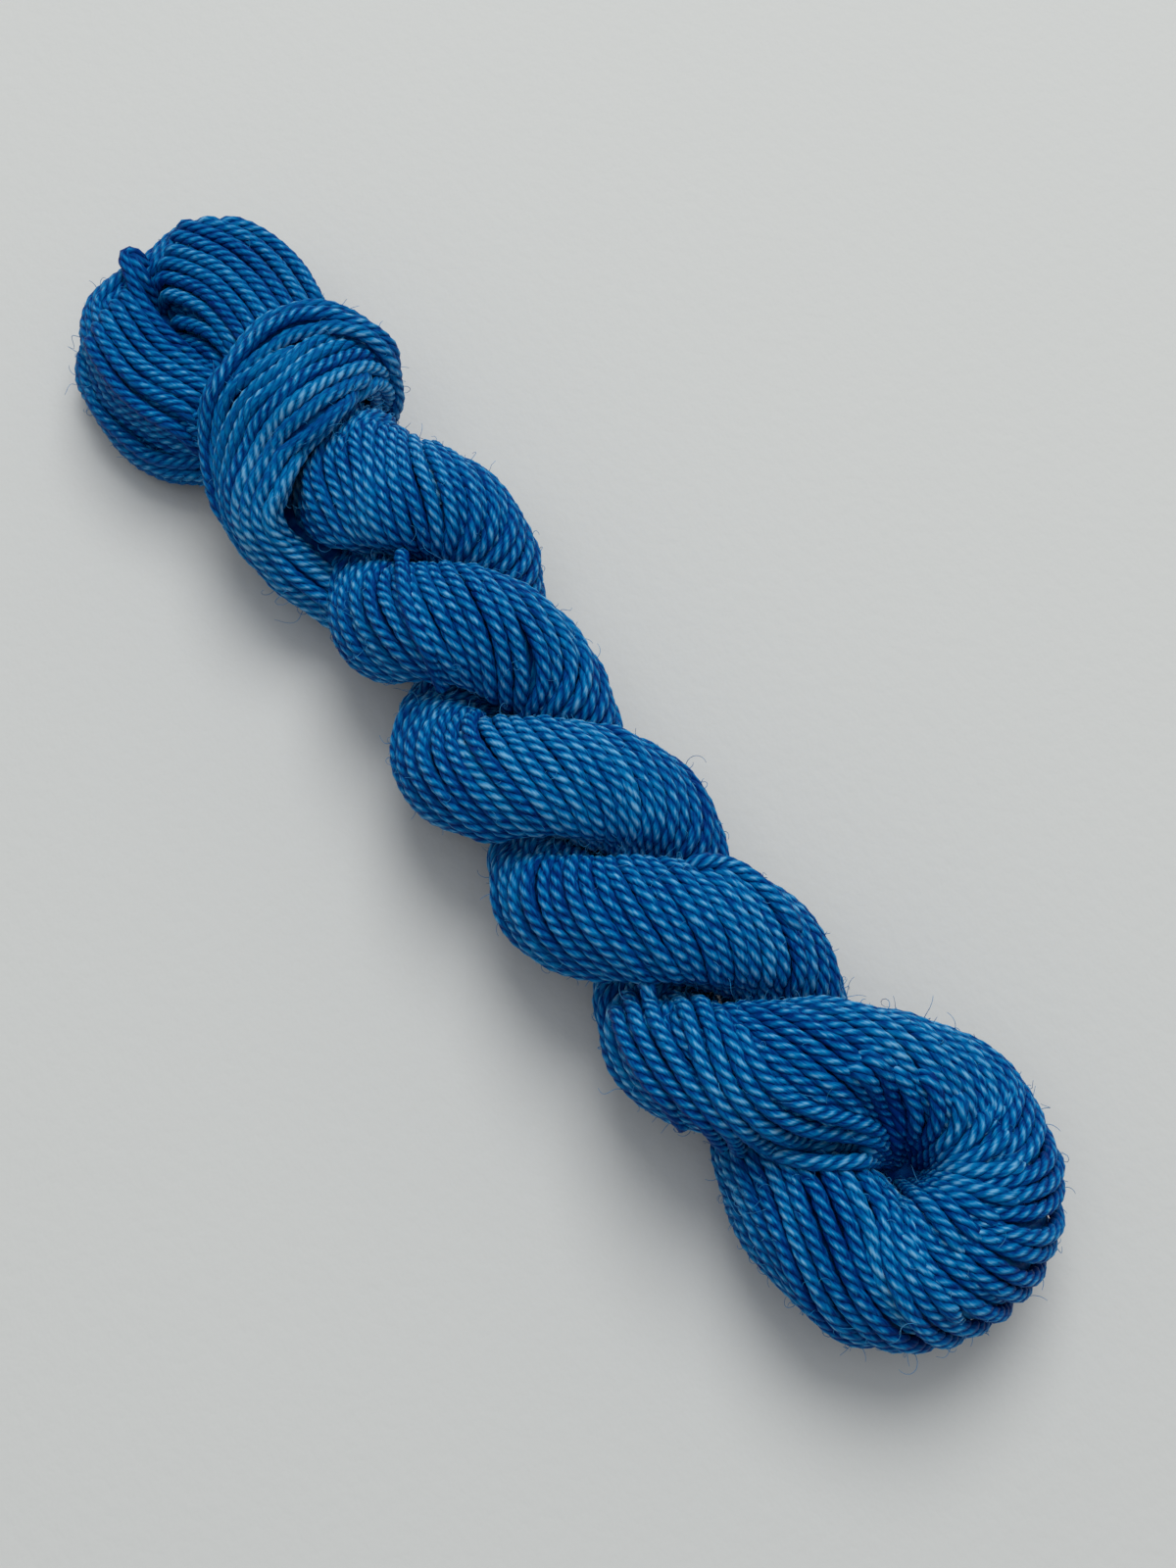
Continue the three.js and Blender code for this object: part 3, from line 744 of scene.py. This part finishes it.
def add_hairs(mesh, lines, count, rng):
    """Fine loose fibres that stand away from the strands, each curling its own way."""
    points = np.concatenate([line[0] for line in lines])
    outward = np.concatenate([line[1] for line in lines])
    open_above = (outward[:, 2] > -0.35) & (points[:, 2] > 1.2)
    chance = open_above * (1 - 0.75 * np.clip(outward[:, 2], 0, 1))
    picked = rng.choice(len(points), count, replace=False, p=chance / chance.sum())
    at = points[picked] + 0.42 * STRAND * outward[picked]
    heading = unit(0.55 * outward[picked] + 0.6 * rng.normal(size=(count, 3)))
    lengths = rng.gamma(2.2, 0.5, count).clip(0.4, HAIR_LONGEST)
    curl = rng.normal(size=(count, 3)) * rng.uniform(0.6, 3.0, (count, 1))
    steps = (lengths / HAIR_STEPS)[:, None]
    path = [at]
    for _ in range(HAIR_STEPS):
        heading = unit(heading + steps * np.cross(curl, heading))
        curl = curl + 0.5 * np.sqrt(steps) * rng.normal(size=(count, 3))
        path.append(path[-1] + steps * heading)
    path = np.stack(path, axis=1)
    path[..., 2] = np.maximum(path[..., 2], HAIR_RADIUS)
    radius = HAIR_RADIUS * np.linspace(1, 0.5, HAIR_STEPS + 1)[:, None, None]
    for hair, toward in zip(path, heading):
        rings = round_rings(hair, toward[[1, 2, 0]] + 0 * hair, radius, 3)
        # Painted sheen: the loose fibres are coloured light along their whole length.
        mesh.tube(rings, lengths_along(hair), 0.0, 0.6)


def add_core(mesh, form, inset, sides=24):
    """A smooth body inside a bundle, so that nothing shows through between its strands."""
    picked = np.arange(0, len(form.s), 10)
    turns = 2 * np.pi * np.arange(sides) / sides
    rings = np.stack([form.surface(np.full(len(form.s), t), inset)[picked] for t in turns], 1)
    rings[..., 2] = pressed(rings[..., 2] - inset * 0.8) + inset * 0.8
    along = form.s[picked]
    rings = dented(rings.reshape(-1, 3)).reshape(rings.shape)
    # The core is coloured darker, as painted shade in the depths of the bundle.
    mesh.tube(rings, along, INNER_PAINTED_SHADE, 0.0)


def new_material(name):
    material = bpy.data.materials.new(name)
    material.use_nodes = True
    tree = material.node_tree
    return material, tree.nodes, tree.links, tree.nodes["Principled BSDF"]


def new_noise(nodes, links, vector, scale, detail=2.0):
    noise = nodes.new("ShaderNodeTexNoise")
    noise.inputs["Scale"].default_value = scale
    noise.inputs["Detail"].default_value = detail
    links.new(vector, noise.inputs["Vector"])
    return noise.outputs["Fac"]


def add_bump(nodes, links, shader, height, strength, distance):
    bump = nodes.new("ShaderNodeBump")
    bump.inputs["Strength"].default_value = strength
    bump.inputs["Distance"].default_value = distance
    links.new(height, bump.inputs["Height"])
    links.new(bump.outputs["Normal"], shader.inputs["Normal"])


def thread_material():
    """Silky plied thread: dyed unevenly, with fine fibres along each ply, painted sheen on the plies'
    crests and painted light and shade in its tone.
    """
    material, nodes, links, shader = new_material("thread")

    def attribute(name):
        node = nodes.new("ShaderNodeAttribute")
        node.attribute_name = name
        return node.outputs["Fac"]

    def scaled(value, factor, rest):
        """A value times a factor, plus the rest, which is a number or another value."""
        node = nodes.new("ShaderNodeMath")
        node.operation = "MULTIPLY_ADD"
        links.new(value, node.inputs[0])
        node.inputs[1].default_value = factor
        if isinstance(rest, float):
            node.inputs[2].default_value = rest
        else:
            links.new(rest, node.inputs[2])
        return node.outputs[0]

    uv = nodes.new("ShaderNodeUVMap")
    uv.uv_map = "strand"
    along_ply = nodes.new("ShaderNodeMapping")
    along_ply.inputs["Scale"].default_value = (11.0, 0.9, 1.0)
    links.new(uv.outputs["UV"], along_ply.inputs["Vector"])
    fibres = new_noise(nodes, links, along_ply.outputs["Vector"], 1.0, 3.0)
    place = nodes.new("ShaderNodeTexCoord")
    patches = new_noise(nodes, links, place.outputs["Object"], 190.0)

    # The tone value is the thread's random tone with painted light and shade added; the crest value adds
    # painted sheen on the plies.
    shade = scaled(attribute("tone"), 0.055, -0.29)
    shade = scaled(attribute("crest_sheen"), 0.57, shade)
    shade = scaled(fibres, 1.0, shade)
    shade = scaled(patches, 0.25, shade)

    ramp = nodes.new("ShaderNodeValToRGB")
    stops = ramp.color_ramp.elements
    stops[0].position, stops[0].color = 0.20, (0.0001, 0.022, 0.160, 1)
    stops[1].position, stops[1].color = 0.95, (0.185, 0.440, 0.690, 1)
    stops.new(0.38).color = (0.0001, 0.072, 0.280, 1)
    stops.new(0.62).color = (0.0008, 0.194, 0.465, 1)
    links.new(shade, ramp.inputs["Fac"])
    links.new(ramp.outputs["Color"], shader.inputs["Base Color"])

    add_bump(nodes, links, shader, fibres, 0.35, 0.00006)
    shader.inputs["Roughness"].default_value = 0.55
    shader.inputs["Specular IOR Level"].default_value = 0.13
    shader.inputs["Specular Tint"].default_value = (0.12, 0.60, 1.0, 1)
    return material


def floor_material():
    """A plain pale surface with a fine grain."""
    material, nodes, links, shader = new_material("pale_surface")
    place = nodes.new("ShaderNodeTexCoord")
    grain = new_noise(nodes, links, place.outputs["Object"], 900.0)
    add_bump(nodes, links, shader, grain, 0.25, 0.0002)
    shader.inputs["Base Color"].default_value = (0.62, 0.63, 0.62, 1)
    shader.inputs["Roughness"].default_value = 0.85
    return material


def add_camera():
    """The photograph's viewpoint: over the fold end, looking down and along towards the tail."""
    place = CAMERA_PLACE - MIDDLE
    heading, dip, roll = math.radians(50.19), math.radians(69.1), math.radians(3.06)
    right = Vector((math.cos(heading), math.sin(heading), 0))
    forward = Vector((-math.sin(heading) * math.cos(dip), math.cos(heading) * math.cos(dip),
                      -math.sin(dip)))
    up = right.cross(forward)
    turned_right = math.cos(roll) * right + math.sin(roll) * up
    turned_up = math.cos(roll) * up - math.sin(roll) * right
    matrix = Matrix((turned_right, turned_up, -forward)).transposed().to_4x4()
    matrix.translation = Vector(place * MM)
    data = bpy.data.cameras.new("camera")
    data.sensor_width = 36
    data.lens = 36 * 1900 / 1600  # focal length in pixels over the frame's height
    data.clip_start, data.clip_end = 0.005, 5
    camera = bpy.data.objects.new("camera", data)
    camera.matrix_world = matrix
    bpy.context.collection.objects.link(camera)
    bpy.context.scene.camera = camera


def add_light(name, place, size, power, colour):
    data = bpy.data.lights.new(name, "AREA")
    data.shape = "DISK"
    data.size = size
    data.energy = power
    data.color = colour
    light = bpy.data.objects.new(name, data)
    light.location = place
    light.rotation_mode = "QUATERNION"
    light.rotation_quaternion = (-Vector(place)).to_track_quat("-Z", "Y")
    bpy.context.collection.objects.link(light)


def add_stage():
    data = bpy.data.meshes.new("floor")
    reach = 0.6
    corners = [(-reach, -reach, 0), (reach, -reach, 0), (reach, reach, 0), (-reach, reach, 0)]
    data.from_pydata(corners, [], [(0, 1, 2, 3)])
    data.materials.append(floor_material())
    floor = bpy.data.objects.new("floor", data)
    bpy.context.collection.objects.link(floor)
    add_light("window", (-0.24, 0.26, 0.62), 0.5, 2.9, (1.0, 0.99, 0.97))
    add_light("ceiling", (0.0, 0.0, 0.8), 1.0, 1.6, (0.97, 0.98, 1.0))
    world = bpy.data.worlds.new("studio")
    world.use_nodes = True
    world.node_tree.nodes["Background"].inputs["Color"].default_value = (0.95, 0.98, 1.0, 1)
    world.node_tree.nodes["Background"].inputs["Strength"].default_value = 0.32
    bpy.context.scene.world = world


def build():
    rng = np.random.default_rng(7)
    thread = thread_material()
    half, band, tail = half_form(), band_form(BAND, True), tail_form(TAIL)
    lip, loose = band_form(LIP, False), tail_form(LOOSE)
    rope = [Mesh() for _ in range(ROPE_PIECES)]
    lay_strands(half, surface_lay(half, HALF_STRANDS, rng, TIGHT_SPACING), rope, rng)
    surface, seen = seen_surface((half, tail))
    tail_mesh = Mesh()
    for name, (lift, drawn) in SEEN.items():
        points = dented(draped(drawn, lift, surface, seen))
        toward = np.tile(UP, (len(points), 1))
        if name.startswith("tail"):
            add_strand(tail_mesh, points, toward, rng, TAIL_PAINTED_SHADE, TAIL_GLEAM)
        else:
            add_strand(min(rope, key=lambda one: one.count), points, toward, rng)
    for i, mesh in enumerate(rope):
        mesh.make(f"rope_strands_{i + 1}", thread)
    for form, count, deeper in ((tail, TAIL_STRANDS, TAIL_SUNK), (loose, LOOSE_STRANDS, 0.0)):
        lays = surface_lay(form, count, rng, LOOSE_SPACING, deeper)
        lay_strands(form, lays, [tail_mesh], rng, TAIL_PAINTED_SHADE, TAIL_GLEAM)
    tail_mesh.make("tail_strands", thread)
    band_mesh = Mesh()
    for form, count in ((band, BAND_STRANDS), (lip, LIP_STRANDS)):
        lays = surface_lay(form, count, rng, LOOSE_SPACING)
        lay_strands(form, lays, [band_mesh], rng, BAND_PAINTED_LIGHT)
    band_mesh.make("band_strands", thread)
    hairs = Mesh()
    add_hairs(hairs, tail_mesh.lines, TAIL_HAIRS, rng)
    add_hairs(hairs, band_mesh.lines, BAND_HAIRS, rng)
    for mesh in rope:
        add_hairs(hairs, mesh.lines, ROPE_PIECE_HAIRS, rng)
    hairs.make("loose_fibres", thread)
    inner = Mesh()
    lay_second_layer(half, HALF_INNER_STRANDS, inner, rng)
    lay_second_layer(tail, TAIL_INNER_STRANDS, inner, rng)
    inner.make("inner_strands", thread)
    core = Mesh()
    add_core(core, half, 1.4)
    add_core(core, tail, 1.8)
    add_core(core, band, 0.8)
    add_core(core, lip, 0.8, 12)
    for row in HOLLOWS:
        rings = egg(*row, 13, 20)
        core.tube(rings, np.linspace(0, 3 * row[3], len(rings)), INNER_PAINTED_SHADE, 0.0)
    core.make("core", thread)


build()
add_stage()
add_camera()
view = bpy.context.scene.view_settings
view.view_transform = "Standard"
